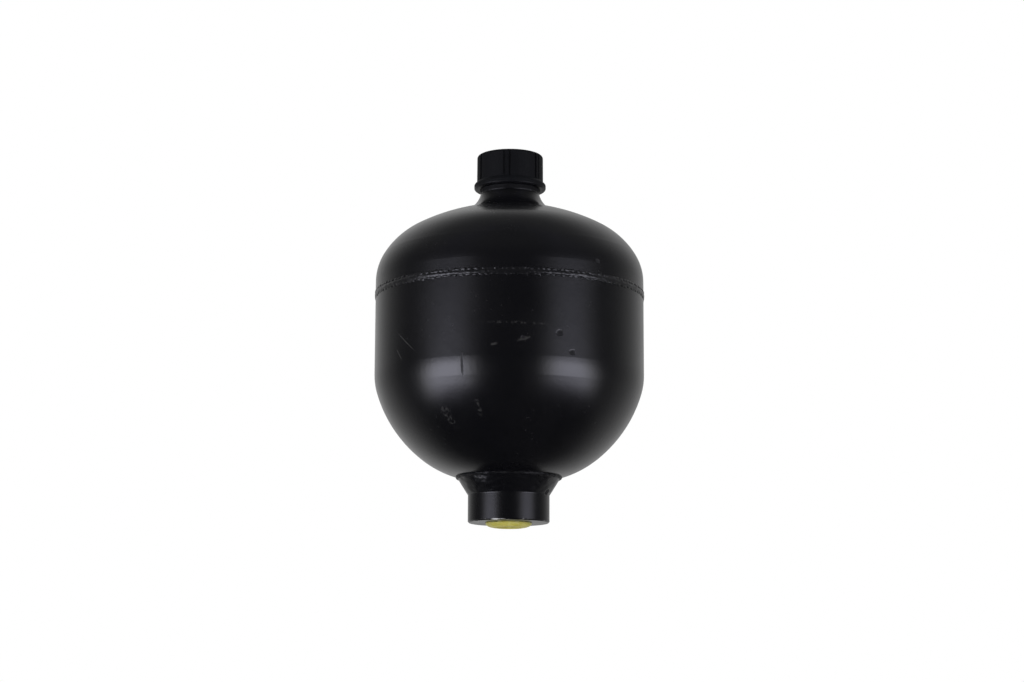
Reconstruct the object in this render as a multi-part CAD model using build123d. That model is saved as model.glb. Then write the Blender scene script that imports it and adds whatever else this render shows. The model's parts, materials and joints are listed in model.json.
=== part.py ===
from build123d import *
import math
import os

# A welded two-litre hydraulic accumulator that stands upright on the plug in its fluid port.
# Two pressed steel shells meet at a girth weld. A moulded rubber bladder, clamped by a ring
# just below that weld, parts the gas above it from the fluid below it.
# Z is the axis of the vessel. Z = 0 is the outer face of the shipping plug. Millimetres.

# Driving dimensions of the pressed shells, outside. A meridian has three arcs, each tangent to
# the one before: knuckle, flank and middle. Sweeps are in degrees.
BODY_RADIUS = 83.5
SHELL_WALL = 7.5
LOWER_CYLINDER_LENGTH = 49.8
UPPER_CYLINDER_LENGTH = 9.2
BOWL_KNUCKLE_RADIUS = 38.8
BOWL_KNUCKLE_SWEEP = 16.8
BOWL_FLANK_RADIUS = 81.1
BOWL_FLANK_SWEEP = 35.6
BOWL_MIDDLE_RADIUS = 62.4
DOME_KNUCKLE_RADIUS = 30.7
DOME_KNUCKLE_SWEEP = 30.7
DOME_FLANK_RADIUS = 47.3
DOME_FLANK_SWEEP = 31.0
DOME_MIDDLE_RADIUS = 126.2

# Driving dimensions of the girth weld: a V through the wall, with a low cap.
GIRTH_WELD_WIDTH = 3.0
GIRTH_WELD_ROOT = 1.0
GIRTH_WELD_HEIGHT = 0.5

# Driving dimensions of the fluid port: a turned boss with a G 3/4 thread, let into the bowl.
BOSS_RADIUS = 25.1
BOSS_COLLAR_LENGTH = 16.9
BOSS_SHOULDER_RADIUS = 31.5
BOSS_CONE_LENGTH = 10.3
BOSS_LAND_LENGTH = 0.8
BOSS_SPIGOT_RADIUS = 28.0
BOSS_EDGE_CHAMFER = 0.7
PORT_THREAD_MINOR_RADIUS = 12.06
PORT_THREAD_MAJOR_RADIUS = 13.22
PORT_THREAD_DEPTH = 20.0
PORT_PASSAGE_RADIUS = 8.0
PORT_WELD_RADIUS = 1.3

# Driving dimensions of the gas stem: a turned stem with an M28 x 1.5 thread for the charging kit.
NECK_RADIUS = 18.5
NECK_LENGTH = 13.4
STEM_SPIGOT_RADIUS = 16.0
STEM_THREAD_RADIUS = 14.0
STEM_THREAD_LENGTH = 11.5
STEM_THREAD_PITCH = 1.5
STEM_EDGE_CHAMFER = 1.0
NECK_EDGE_CHAMFER = 0.5
GAS_PASSAGE_RADIUS = 2.5
STEM_WELD_RADIUS = 16.0
STEM_WELD_BITE = 0.5

# Driving dimensions of the charging screw: M14 x 1.5 with a collar and a hexagon socket.
SCREW_THREAD_RADIUS = 7.0
SCREW_THREAD_LENGTH = 12.0
SCREW_COLLAR_RADIUS = 9.5
SCREW_COLLAR_HEIGHT = 3.0
SCREW_SOCKET_ACROSS_FLATS = 6.0
SCREW_SOCKET_DEPTH = 7.0
SCREW_EDGE_CHAMFER = 0.6
SCREW_BORE_SPARE_DEPTH = 3.0
SEAL_WIDTH = 2.2
SEAL_THICKNESS = 1.5

# Driving dimensions of the protective cap: a moulded cap with a threaded sleeve in a ribbed skirt.
CAP_RADIUS = 20.8
CAP_HEIGHT = 22.2
CAP_TOP_WALL = 2.5
CAP_DRAFT = 0.1
CAP_EDGE_RADIUS = 1.8
CAP_FLANGE_EDGE_RADIUS = 1.3
CAP_FLANGE_RADIUS = 22.5
CAP_FLANGE_HEIGHT = 3.2
CAP_SHOULDER_HEIGHT = 1.9
CAP_SKIRT_OVERLAP = 1.0
CAP_SLEEVE_WALL = 2.5
CAP_RIB_COUNT = 6
CAP_RIB_ANGLE = -5.5
CAP_RIB_WIDTH = 2.2
CAP_RIB_HEIGHT = 0.2
CAP_GROOVE_WIDTH = 1.2
CAP_GROOVE_DEPTH = 0.6
CAP_WEB_THICKNESS = 1.5
CAP_WEB_RECESS = 4.0
GASKET_WIDTH = 3.6
GASKET_THICKNESS = 2.0

# Driving dimensions of the port plug: a thin cup with a flange, ring ribs and a grip bar.
PLUG_FLANGE_RADIUS = 14.2
PLUG_FLANGE_THICKNESS = 3.0
PLUG_FLANGE_EDGE_RADIUS = 1.1
PLUG_DEPTH = 10.0
PLUG_WALL = 2.2
PLUG_FLOOR = 1.6
PLUG_RIB_COUNT = 3
PLUG_RIB_WIDTH = 1.0
PLUG_RIB_HEIGHT = 0.08
PLUG_EDGE_RADIUS = 0.5
PLUG_BAR_WIDTH = 1.8
PLUG_BAR_RECESS = 0.8

# Driving dimensions of the bladder, its shut-off button and the ring that clamps its bead.
BLADDER_WALL = 3.0
BLADDER_PAD_RADIUS = 22.0
BLADDER_PAD_SLOPE = 4.5
BLADDER_PAD_THICKNESS = 7.5
BEAD_WIDTH = 5.5
BEAD_HEIGHT = 8.0
BUTTON_RADIUS = 17.0
BUTTON_THICKNESS = 4.0
BUTTON_EDGE_RADIUS = 0.8
BUTTON_STUD_RADIUS = 4.0
BUTTON_HEAD_RADIUS = 8.0
BUTTON_HEAD_HEIGHT = 2.5
RING_ABOVE_WELD = 8.0
RING_BAND_BELOW_WELD = 7.8
RING_SKIRT_WALL = 3.0
RING_SKIRT_BELOW_BEAD = 2.0
RING_EDGE_RADIUS = 1.2

# Named clearances, radial or axial.
SPIGOT_GAP = 0.05
THREAD_GAP = 0.05
RUBBER_GAP = 0.3
BEAD_GAP = 0.05
PLUG_GAP = 0.1
SKIRT_GAP = 0.4
GASKET_GAP = 0.3
SEAL_GAP = 0.1

# Shapes that tools and standards give: half the angle of a drill's point, the depth of a metric
# thread's groove as a share of its pitch, and the angle at which a meridian is square to the axis.
DRILL_POINT_ANGLE = 59.0
THREAD_DEPTH_SHARE = 0.65
RIGHT_ANGLE = 90.0

# How far a cutting body runs past the face that it opens, and how closely an edge's radius is read.
CUT_OVERRUN = 1.0
RADIUS_TOLERANCE = 0.01


class Meridian:
    """One pressed end: arcs tangent to each other and to the cylinder, height from the tangent line."""

    def __init__(self, *shape):
        """shape is radius, sweep, radius, sweep and so on, up to the last arc's radius."""
        self.arcs = []
        centre = (BODY_RADIUS - shape[0], 0.0)
        start = 0.0
        for radius, sweep, following in zip(shape[0::2], shape[1::2], shape[2::2]):
            end = start + sweep
            self.arcs.append((centre, radius, start, end))
            step = radius - following
            turn = math.radians(end)
            centre = (centre[0] + step * math.cos(turn), centre[1] + step * math.sin(turn))
            start = end
        self.arcs.append((centre, shape[-1], start, RIGHT_ANGLE))

    def point(self, arc, angle, inset):
        """The point of an arc at an angle, set in from the outer surface."""
        centre, radius = arc[0], arc[1]
        turn = math.radians(angle)
        reach = radius - inset
        return centre[0] + reach * math.cos(turn), centre[1] + reach * math.sin(turn)

    def angle_at(self, arc, radius_at, inset):
        """The angle at which an arc reaches a distance from the axis."""
        cosine = (radius_at - arc[0][0]) / (arc[1] - inset)
        return math.degrees(math.acos(max(-1.0, min(1.0, cosine))))

    def height_at(self, radius_at, inset=0.0):
        """Height over the tangent line at a distance from the axis."""
        for arc in self.arcs:
            angle = self.angle_at(arc, radius_at, inset)
            if angle <= arc[3] or arc is self.arcs[-1]:
                return self.point(arc, angle, inset)[1]

    def radius_at_height(self, height, inset):
        """Distance from the axis at a height, on the last arc."""
        centre, radius = self.arcs[-1][0], self.arcs[-1][1]
        rise = (height - centre[1]) / (radius - inset)
        return centre[0] + (radius - inset) * math.sqrt(max(0.0, 1.0 - rise * rise))

    def edges(self, tangent_z, way, last_radius, inset=0.0):
        """The arcs as edges, from the cylinder to a distance from the axis. way is 1 up, -1 down."""
        found = []
        for arc in self.arcs:
            end = arc[3]
            stop = self.angle_at(arc, last_radius, inset)
            last = stop <= end or arc is self.arcs[-1]
            if last:
                end = stop
            angles = (arc[2], (arc[2] + end) / 2, end)
            points = [self.point(arc, angle, inset) for angle in angles]
            found.append(ThreePointArc(*[(r, 0, tangent_z + way * h) for r, h in points]))
            if last:
                break
        return found


BOWL = Meridian(
    BOWL_KNUCKLE_RADIUS, BOWL_KNUCKLE_SWEEP, BOWL_FLANK_RADIUS, BOWL_FLANK_SWEEP, BOWL_MIDDLE_RADIUS
)
DOME = Meridian(
    DOME_KNUCKLE_RADIUS, DOME_KNUCKLE_SWEEP, DOME_FLANK_RADIUS, DOME_FLANK_SWEEP, DOME_MIDDLE_RADIUS
)

# Heights, from the plug upwards.
inner_radius = BODY_RADIUS - SHELL_WALL
port_face_z = PLUG_FLANGE_THICKNESS
boss_cone_z = port_face_z + BOSS_COLLAR_LENGTH
boss_land_z = boss_cone_z + BOSS_CONE_LENGTH
boss_seat_z = boss_land_z + BOSS_LAND_LENGTH
bowl_z = boss_seat_z + BOWL.height_at(BOSS_SHOULDER_RADIUS)
boss_top_z = bowl_z - BOWL.height_at(BOSS_SPIGOT_RADIUS, SHELL_WALL)
weld_z = bowl_z + LOWER_CYLINDER_LENGTH
dome_z = weld_z + UPPER_CYLINDER_LENGTH
stem_seat_z = dome_z + DOME.height_at(NECK_RADIUS)
stem_foot_z = dome_z + DOME.height_at(STEM_SPIGOT_RADIUS, SHELL_WALL)
neck_top_z = stem_seat_z + NECK_LENGTH
stem_top_z = neck_top_z + STEM_THREAD_LENGTH
collar_z = stem_top_z + SEAL_THICKNESS
cap_foot_z = neck_top_z - CAP_SKIRT_OVERLAP
cap_top_z = cap_foot_z + CAP_HEIGHT
sleeve_foot_z = neck_top_z + GASKET_THICKNESS
bead_top_z = weld_z - RING_BAND_BELOW_WELD
bead_foot_z = bead_top_z - BEAD_HEIGHT
bladder_floor_z = boss_top_z + RUBBER_GAP

# Radii that follow from what a piece fits.
bladder_radius = inner_radius - RUBBER_GAP
bead_inner_radius = bladder_radius - BEAD_WIDTH
ring_radius = inner_radius - SPIGOT_GAP
skirt_radius = bead_inner_radius - BEAD_GAP
cap_skirt_inner_radius = NECK_RADIUS + SKIRT_GAP
cap_sleeve_inner_radius = STEM_THREAD_RADIUS + THREAD_GAP
cap_sleeve_radius = cap_sleeve_inner_radius + CAP_SLEEVE_WALL
plug_radius = PORT_THREAD_MINOR_RADIUS - PLUG_GAP
screw_bore_radius = SCREW_THREAD_RADIUS + THREAD_GAP


def path(*points):
    """Straight edges through points given as (distance from the axis, height)."""
    places = [(r, 0, z) for r, z in points]
    return [Line(a, b) for a, b in zip(places, places[1:])]


def bow(start, middle, end):
    """One arc through three points given as (distance from the axis, height)."""
    return [ThreePointArc(*[(r, 0, z) for r, z in (start, middle, end)])]


def turned(edges):
    """A body of revolution about Z from the closed outline of its half section."""
    return revolve(make_face(Wire(edges)), Axis.Z)


def ring(inner, outer, low, high):
    """A plain ring or, with no inner radius, a disc."""
    return turned(path((inner, low), (outer, low), (outer, high), (inner, high), (inner, low)))


def rims(body, radius):
    """The round edges of a body that have this radius."""
    circles = body.edges().filter_by(GeomType.CIRCLE)
    return circles.filter_by(lambda edge: abs(edge.radius - radius) < RADIUS_TOLERANCE)


def lower_shell():
    """The fluid half: cylinder and bowl, its rim cut to the weld's V, a flat seat round the hole."""
    rim_out = weld_z - GIRTH_WELD_WIDTH / 2
    rim_in = weld_z - GIRTH_WELD_ROOT / 2
    hole = BOSS_SPIGOT_RADIUS
    foot = bowl_z - BOWL.height_at(hole)
    shell = turned(
        path((inner_radius, bowl_z), (inner_radius, rim_in), (BODY_RADIUS, rim_out), (BODY_RADIUS, bowl_z))
        + BOWL.edges(bowl_z, -1, hole)
        + path((hole, foot), (hole, boss_top_z))
        + BOWL.edges(bowl_z, -1, hole, SHELL_WALL)
    )
    return shell - ring(0, BOSS_SHOULDER_RADIUS, foot - SHELL_WALL, boss_seat_z)


def upper_shell():
    """The gas half: short cylinder and dome, its rim cut to the weld's V, a flat seat round the hole."""
    rim_out = weld_z + GIRTH_WELD_WIDTH / 2
    rim_in = weld_z + GIRTH_WELD_ROOT / 2
    hole = STEM_SPIGOT_RADIUS
    top = dome_z + DOME.height_at(hole)
    shell = turned(
        path((inner_radius, dome_z), (inner_radius, rim_in), (BODY_RADIUS, rim_out), (BODY_RADIUS, dome_z))
        + DOME.edges(dome_z, 1, hole)
        + path((hole, top), (hole, stem_foot_z))
        + DOME.edges(dome_z, 1, hole, SHELL_WALL)
    )
    return shell - ring(0, NECK_RADIUS, stem_seat_z, top + SHELL_WALL)


def girth_weld():
    """The weld between the halves: it fills the V and stands a little proud of the wall."""
    wide = GIRTH_WELD_WIDTH / 2
    root = GIRTH_WELD_ROOT / 2
    return turned(
        path((BODY_RADIUS, weld_z - wide), (inner_radius, weld_z - root))
        + path((inner_radius, weld_z - root), (inner_radius, weld_z + root))
        + path((inner_radius, weld_z + root), (BODY_RADIUS, weld_z + wide))
        + bow(
            (BODY_RADIUS, weld_z + wide),
            (BODY_RADIUS + GIRTH_WELD_HEIGHT, weld_z),
            (BODY_RADIUS, weld_z - wide),
        )
    )


def port_boss():
    """The fluid port: collar, cone and spigot outside; thread bore, passage and flat seat inside."""
    drill_z = port_face_z + PORT_THREAD_DEPTH
    step = PORT_THREAD_MINOR_RADIUS - PORT_PASSAGE_RADIUS
    passage_z = drill_z + step / math.tan(math.radians(DRILL_POINT_ANGLE))
    mouth = PORT_THREAD_MAJOR_RADIUS - PORT_THREAD_MINOR_RADIUS
    spigot = BOSS_SPIGOT_RADIUS - SPIGOT_GAP
    return turned(
        path(
            (PORT_THREAD_MAJOR_RADIUS, port_face_z),
            (BOSS_RADIUS - BOSS_EDGE_CHAMFER, port_face_z),
            (BOSS_RADIUS, port_face_z + BOSS_EDGE_CHAMFER),
            (BOSS_RADIUS, boss_cone_z),
            (BOSS_SHOULDER_RADIUS, boss_land_z),
            (BOSS_SHOULDER_RADIUS, boss_seat_z),
            (spigot, boss_seat_z),
            (spigot, boss_top_z),
            (PORT_PASSAGE_RADIUS, boss_top_z),
            (PORT_PASSAGE_RADIUS, passage_z),
            (PORT_THREAD_MINOR_RADIUS, drill_z),
            (PORT_THREAD_MINOR_RADIUS, port_face_z + mouth),
            (PORT_THREAD_MAJOR_RADIUS, port_face_z),
        )
    )


def port_weld(shell, boss):
    """The bead in the corner between the boss's shoulder and the bowl, none of it in the hole."""
    section = Plane.XZ * Pos(BOSS_SHOULDER_RADIUS, boss_seat_z) * Circle(PORT_WELD_RADIUS)
    hole = ring(0, BOSS_SPIGOT_RADIUS, boss_seat_z - PORT_WELD_RADIUS, boss_seat_z + PORT_WELD_RADIUS)
    return revolve(section, Axis.Z) - hole - shell - boss


def gas_stem():
    """The gas stem: spigot in the dome, neck, thread with its run-out, and the charging screw's bore."""
    thread = STEM_THREAD_RADIUS
    groove = thread - STEM_THREAD_PITCH * THREAD_DEPTH_SHARE
    bore_foot_z = stem_top_z - SCREW_THREAD_LENGTH - SCREW_BORE_SPARE_DEPTH
    step = screw_bore_radius - GAS_PASSAGE_RADIUS
    bore_tip_z = bore_foot_z - step / math.tan(math.radians(DRILL_POINT_ANGLE))
    spigot = STEM_SPIGOT_RADIUS - SPIGOT_GAP
    return turned(
        path(
            (GAS_PASSAGE_RADIUS, stem_foot_z),
            (spigot, stem_foot_z),
            (spigot, stem_seat_z),
            (NECK_RADIUS, stem_seat_z),
            (NECK_RADIUS, neck_top_z - NECK_EDGE_CHAMFER),
            (NECK_RADIUS - NECK_EDGE_CHAMFER, neck_top_z),
            (groove, neck_top_z),
            (groove, neck_top_z + STEM_THREAD_PITCH),
            (thread, neck_top_z + STEM_THREAD_PITCH + thread - groove),
            (thread, stem_top_z - STEM_EDGE_CHAMFER),
            (thread - STEM_EDGE_CHAMFER, stem_top_z),
            (screw_bore_radius, stem_top_z),
            (screw_bore_radius, bore_foot_z),
            (GAS_PASSAGE_RADIUS, bore_tip_z),
            (GAS_PASSAGE_RADIUS, stem_foot_z),
        )
    )


def stem_weld(shell, stem):
    """The hollow fillet weld: it leaves the neck at a slight angle and runs out into the dome."""
    crown = DOME.arcs[-1]
    centre_r, centre_h = crown[0]
    hollow_r = NECK_RADIUS + STEM_WELD_RADIUS - STEM_WELD_BITE
    reach = crown[1] + STEM_WELD_RADIUS
    hollow_z = dome_z + centre_h + math.sqrt(reach**2 - (hollow_r - centre_r) ** 2)
    start_z = hollow_z - math.sqrt(STEM_WELD_RADIUS**2 - (hollow_r - NECK_RADIUS) ** 2)
    share = crown[1] / reach
    toe_r = centre_r + (hollow_r - centre_r) * share
    toe_z = dome_z + centre_h + (hollow_z - dome_z - centre_h) * share
    start_turn = math.atan2(start_z - hollow_z, NECK_RADIUS - hollow_r)
    toe_turn = math.atan2(toe_z - hollow_z, toe_r - hollow_r)
    turn = (start_turn + toe_turn) / 2
    middle = (hollow_r + STEM_WELD_RADIUS * math.cos(turn), hollow_z + STEM_WELD_RADIUS * math.sin(turn))
    foot_z = toe_z - SHELL_WALL / 2
    return (
        turned(
            path((toe_r, toe_z), (toe_r, foot_z), (NECK_RADIUS, foot_z), (NECK_RADIUS, start_z))
            + bow((NECK_RADIUS, start_z), middle, (toe_r, toe_z))
        )
        - shell
        - stem
    )


def retaining_ring():
    """The ring behind the weld: a band on the wall over the bead, and a skirt inside the bead."""
    top = weld_z + RING_ABOVE_WELD
    foot = bead_foot_z - RING_SKIRT_BELOW_BEAD
    inner = skirt_radius - RING_SKIRT_WALL
    body = turned(
        path(
            (inner, foot),
            (skirt_radius, foot),
            (skirt_radius, bead_top_z),
            (ring_radius, bead_top_z),
            (ring_radius, top),
            (inner, top),
            (inner, foot),
        )
    )
    return fillet(rims(body, inner), RING_EDGE_RADIUS)


def bladder():
    """The moulded cup: bead at the rim, thin wall along the bowl, thick pad round the button."""
    skin_inner = bladder_radius - BLADDER_WALL
    outset = SHELL_WALL + RUBBER_GAP
    inset = outset + BLADDER_WALL
    floor_r = BOWL.radius_at_height(bowl_z - bladder_floor_z, outset)
    skin_r = BLADDER_PAD_RADIUS + BLADDER_PAD_SLOPE
    skin_z = bowl_z - BOWL.height_at(skin_r, inset)
    pad_z = bladder_floor_z + BLADDER_PAD_THICKNESS
    recess_r = BUTTON_RADIUS + BEAD_GAP
    recess_z = boss_top_z + BUTTON_THICKNESS
    hole = BUTTON_STUD_RADIUS + BEAD_GAP
    return turned(
        path(
            (bladder_radius, bowl_z),
            (bladder_radius, bead_top_z),
            (bead_inner_radius, bead_top_z),
            (bead_inner_radius, bead_foot_z),
            (skin_inner, bead_foot_z),
            (skin_inner, bowl_z),
        )
        + BOWL.edges(bowl_z, -1, skin_r, inset)
        + path(
            (skin_r, skin_z),
            (BLADDER_PAD_RADIUS, pad_z),
            (hole, pad_z),
            (hole, recess_z),
            (recess_r, recess_z),
            (recess_r, bladder_floor_z),
            (floor_r, bladder_floor_z),
        )
        + BOWL.edges(bowl_z, -1, floor_r, outset)
    )


def shutoff_button():
    """The disc that closes the port, with the stud and head that hold it in the bladder's pad."""
    pad_z = bladder_floor_z + BLADDER_PAD_THICKNESS
    head_z = pad_z + BUTTON_HEAD_HEIGHT
    disc_z = boss_top_z + BUTTON_THICKNESS
    body = turned(
        path(
            (0, boss_top_z),
            (BUTTON_RADIUS, boss_top_z),
            (BUTTON_RADIUS, disc_z),
            (BUTTON_STUD_RADIUS, disc_z),
            (BUTTON_STUD_RADIUS, pad_z),
            (BUTTON_HEAD_RADIUS, pad_z),
            (BUTTON_HEAD_RADIUS, head_z),
            (0, head_z),
            (0, boss_top_z),
        )
    )
    lowest = rims(body, BUTTON_RADIUS).sort_by(Axis.Z)[0]
    highest = rims(body, BUTTON_HEAD_RADIUS).sort_by(Axis.Z)[-1]
    return fillet([lowest, highest], BUTTON_EDGE_RADIUS)


def charging_screw():
    """The screw that closes the gas passage: threaded shank, collar and hexagon socket."""
    shank_z = collar_z - SCREW_THREAD_LENGTH
    top = collar_z + SCREW_COLLAR_HEIGHT
    edge = SCREW_EDGE_CHAMFER
    body = turned(
        path(
            (0, shank_z),
            (SCREW_THREAD_RADIUS - edge, shank_z),
            (SCREW_THREAD_RADIUS, shank_z + edge),
            (SCREW_THREAD_RADIUS, collar_z),
            (SCREW_COLLAR_RADIUS, collar_z),
            (SCREW_COLLAR_RADIUS, top - edge),
            (SCREW_COLLAR_RADIUS - edge, top),
            (0, top),
            (0, shank_z),
        )
    )
    hexagon = RegularPolygon(SCREW_SOCKET_ACROSS_FLATS / 2, 6, major_radius=False)
    return body - Pos(0, 0, top) * extrude(hexagon, -SCREW_SOCKET_DEPTH)


def screw_seal():
    """The flat seal ring under the screw's collar."""
    inner = screw_bore_radius + SEAL_GAP
    return ring(inner, inner + SEAL_WIDTH, stem_top_z, collar_z)


def cap_shell():
    """The cap turned all round: flanged skirt, top with a round edge, and a threaded sleeve."""
    flange_top_z = cap_foot_z + CAP_FLANGE_HEIGHT
    shoulder_z = flange_top_z + CAP_SHOULDER_HEIGHT
    top_radius = CAP_RADIUS - CAP_DRAFT
    ceiling_z = cap_top_z - CAP_TOP_WALL
    body = turned(
        path(
            (0, cap_foot_z),
            (CAP_FLANGE_RADIUS, cap_foot_z),
            (CAP_FLANGE_RADIUS, flange_top_z),
            (CAP_RADIUS, shoulder_z),
            (top_radius, cap_top_z),
            (0, cap_top_z),
            (0, cap_foot_z),
        )
    )
    body = fillet(rims(body, CAP_FLANGE_RADIUS), CAP_FLANGE_EDGE_RADIUS)
    body = fillet(rims(body, top_radius), CAP_EDGE_RADIUS)
    body = body - ring(0, cap_skirt_inner_radius, cap_foot_z - CUT_OVERRUN, sleeve_foot_z)
    body = body - ring(cap_sleeve_radius, cap_skirt_inner_radius, sleeve_foot_z - CUT_OVERRUN, ceiling_z)
    return body - ring(0, cap_sleeve_inner_radius, sleeve_foot_z - CUT_OVERRUN, ceiling_z)


def protective_cap():
    """The moulded cap: upright ribs between grooves round the skirt, and webs behind them inside."""
    body = cap_shell()
    shoulder_z = cap_foot_z + CAP_FLANGE_HEIGHT + CAP_SHOULDER_HEIGHT
    ceiling_z = cap_top_z - CAP_TOP_WALL
    rib_top_z = cap_top_z - CAP_EDGE_RADIUS
    rib_depth = CAP_GROOVE_DEPTH + CAP_RIB_HEIGHT
    rib_middle = CAP_RADIUS + CAP_RIB_HEIGHT - rib_depth / 2
    groove_offset = (CAP_RIB_WIDTH + CAP_GROOVE_WIDTH) / 2
    web_foot_z = sleeve_foot_z + CAP_WEB_RECESS
    web_length = cap_skirt_inner_radius - cap_sleeve_radius
    web_middle = (cap_skirt_inner_radius + cap_sleeve_radius) / 2
    rib = Pos(0, -rib_middle, (shoulder_z + rib_top_z) / 2) * Box(
        CAP_RIB_WIDTH, rib_depth, rib_top_z - shoulder_z
    )
    web = Pos(0, -web_middle, (web_foot_z + ceiling_z) / 2) * Box(
        CAP_WEB_THICKNESS, web_length + CAP_GROOVE_DEPTH, ceiling_z - web_foot_z
    )
    for index in range(CAP_RIB_COUNT):
        turn = Rot(0, 0, CAP_RIB_ANGLE + 360 * index / CAP_RIB_COUNT)
        for side in (-1, 1):
            groove = Pos(side * groove_offset, -CAP_RADIUS, (shoulder_z + cap_top_z) / 2) * Box(
                CAP_GROOVE_WIDTH, 2 * CAP_GROOVE_DEPTH, cap_top_z - shoulder_z
            )
            body = body - turn * groove
        body = body + turn * rib + turn * web
    return body


def cap_gasket():
    """The ring between the neck and the cap's sleeve, which rises with the cap and doesn't turn."""
    inner = STEM_THREAD_RADIUS + GASKET_GAP
    return ring(inner, inner + GASKET_WIDTH, neck_top_z, sleeve_foot_z)


def port_plug():
    """The push-in plug: flange on the port face, ribbed cup in the thread bore, grip bar inside."""
    top = port_face_z + PLUG_DEPTH
    inner = plug_radius - PLUG_WALL
    floor_z = top - PLUG_FLOOR
    body = turned(
        path(
            (0, 0),
            (PLUG_FLANGE_RADIUS, 0),
            (PLUG_FLANGE_RADIUS, PLUG_FLANGE_THICKNESS),
            (plug_radius, PLUG_FLANGE_THICKNESS),
            (plug_radius, top - PLUG_EDGE_RADIUS),
            (plug_radius - PLUG_EDGE_RADIUS, top),
            (0, top),
            (0, 0),
        )
    )
    body = fillet(rims(body, PLUG_FLANGE_RADIUS), PLUG_FLANGE_EDGE_RADIUS)
    pitch = (PLUG_DEPTH - PLUG_RIB_WIDTH) / (PLUG_RIB_COUNT + 1)
    for index in range(PLUG_RIB_COUNT):
        foot = port_face_z + pitch * (index + 1)
        body = body + ring(
            plug_radius - PLUG_WALL / 2, plug_radius + PLUG_RIB_HEIGHT, foot, foot + PLUG_RIB_WIDTH
        )
    body = body - ring(0, inner, -CUT_OVERRUN, floor_z)
    bar_height = floor_z - PLUG_BAR_RECESS
    bar = Pos(0, 0, PLUG_BAR_RECESS + bar_height / 2) * Box(
        2 * inner + PLUG_WALL, PLUG_BAR_WIDTH, bar_height
    )
    return body + bar


def make_parts():
    """Every node of the accumulator, by name."""
    lower = lower_shell()
    upper = upper_shell()
    boss = port_boss()
    stem = gas_stem()
    return {
        "lower_shell": lower,
        "upper_shell": upper,
        "girth_weld": girth_weld(),
        "port_boss": boss,
        "port_weld": port_weld(lower, boss),
        "gas_stem": stem,
        "stem_weld": stem_weld(upper, stem),
        "retaining_ring": retaining_ring(),
        "bladder": bladder(),
        "shutoff_button": shutoff_button(),
        "charging_screw": charging_screw(),
        "screw_seal": screw_seal(),
        "protective_cap": protective_cap(),
        "cap_gasket": cap_gasket(),
        "port_plug": port_plug(),
    }


os.makedirs("parts", exist_ok=True)
for name, solid in make_parts().items():
    export_step(solid, f"parts/{name}.step")
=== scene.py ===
import json
import math
import random

import bmesh
import bpy
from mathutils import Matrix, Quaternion, Vector

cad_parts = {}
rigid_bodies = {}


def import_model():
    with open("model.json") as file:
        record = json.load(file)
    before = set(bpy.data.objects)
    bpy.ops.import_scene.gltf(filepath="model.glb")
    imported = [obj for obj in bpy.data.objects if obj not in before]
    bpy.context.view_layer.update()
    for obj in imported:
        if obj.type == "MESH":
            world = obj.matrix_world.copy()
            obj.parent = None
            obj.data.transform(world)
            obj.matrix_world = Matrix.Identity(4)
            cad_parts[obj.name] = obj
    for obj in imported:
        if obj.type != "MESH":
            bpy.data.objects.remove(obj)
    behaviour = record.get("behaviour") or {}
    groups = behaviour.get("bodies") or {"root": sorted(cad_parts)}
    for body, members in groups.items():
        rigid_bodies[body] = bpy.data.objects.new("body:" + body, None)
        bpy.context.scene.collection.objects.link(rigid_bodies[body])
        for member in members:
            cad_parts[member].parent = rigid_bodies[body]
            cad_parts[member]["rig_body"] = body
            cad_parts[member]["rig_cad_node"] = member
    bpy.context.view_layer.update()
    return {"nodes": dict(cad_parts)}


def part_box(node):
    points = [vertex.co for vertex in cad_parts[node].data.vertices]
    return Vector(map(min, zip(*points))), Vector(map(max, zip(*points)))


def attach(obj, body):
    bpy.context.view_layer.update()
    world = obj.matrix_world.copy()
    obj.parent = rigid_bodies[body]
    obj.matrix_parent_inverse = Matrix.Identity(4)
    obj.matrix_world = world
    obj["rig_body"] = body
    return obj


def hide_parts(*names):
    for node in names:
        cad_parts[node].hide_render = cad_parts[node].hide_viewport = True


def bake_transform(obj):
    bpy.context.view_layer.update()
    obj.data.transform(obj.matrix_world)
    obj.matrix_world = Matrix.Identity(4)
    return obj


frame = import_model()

# A welded hydraulic accumulator in black paint, standing on its yellow port plug.
# Metres, Z up, the axis of the vessel on Z. Angles round the axis are zero at the front, -Y.

MM = 0.001
TURN = 2 * math.pi

# Places and sizes that the solids' boxes give.
WELD = (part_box("girth_weld")[0].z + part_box("girth_weld")[1].z) / 2
BODY_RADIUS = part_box("lower_shell")[1].x
PORT_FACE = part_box("port_boss")[0].z
COLLAR_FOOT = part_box("stem_weld")[1].z
STEM_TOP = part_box("gas_stem")[1].z
CAP_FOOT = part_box("protective_cap")[0].z

# Sizes of the solids that their boxes don't give. The bowl has three tangent arcs, each with
# its radius and the degrees from level at which it ends.
LOWER_CYLINDER_LENGTH = 49.8 * MM
BOWL_ARCS = ((38.8 * MM, 16.8), (81.1 * MM, 52.4), (62.4 * MM, 90.0))
BOSS_RADIUS = 25.1 * MM
CONE_FOOT = PORT_FACE + 17.0 * MM
CONE_TOP = PORT_FACE + 28.6 * MM
STEM_THREAD_CREST = 14.0 * MM
STEM_THREAD_ROOT = 13.15 * MM
STEM_THREAD_LENGTH = 11.5 * MM
STEM_THREAD_PITCH = 1.5 * MM
BLADDER_WALL = 3.0 * MM
BLADDER_PAD_THICKNESS = 7.5 * MM
BEAD_WIDTH = 5.5 * MM
BEAD_HEIGHT = 8.0 * MM

bpy.ops.object.select_all(action="DESELECT")


# ---------------------------------------------------------------- shader maths


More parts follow.
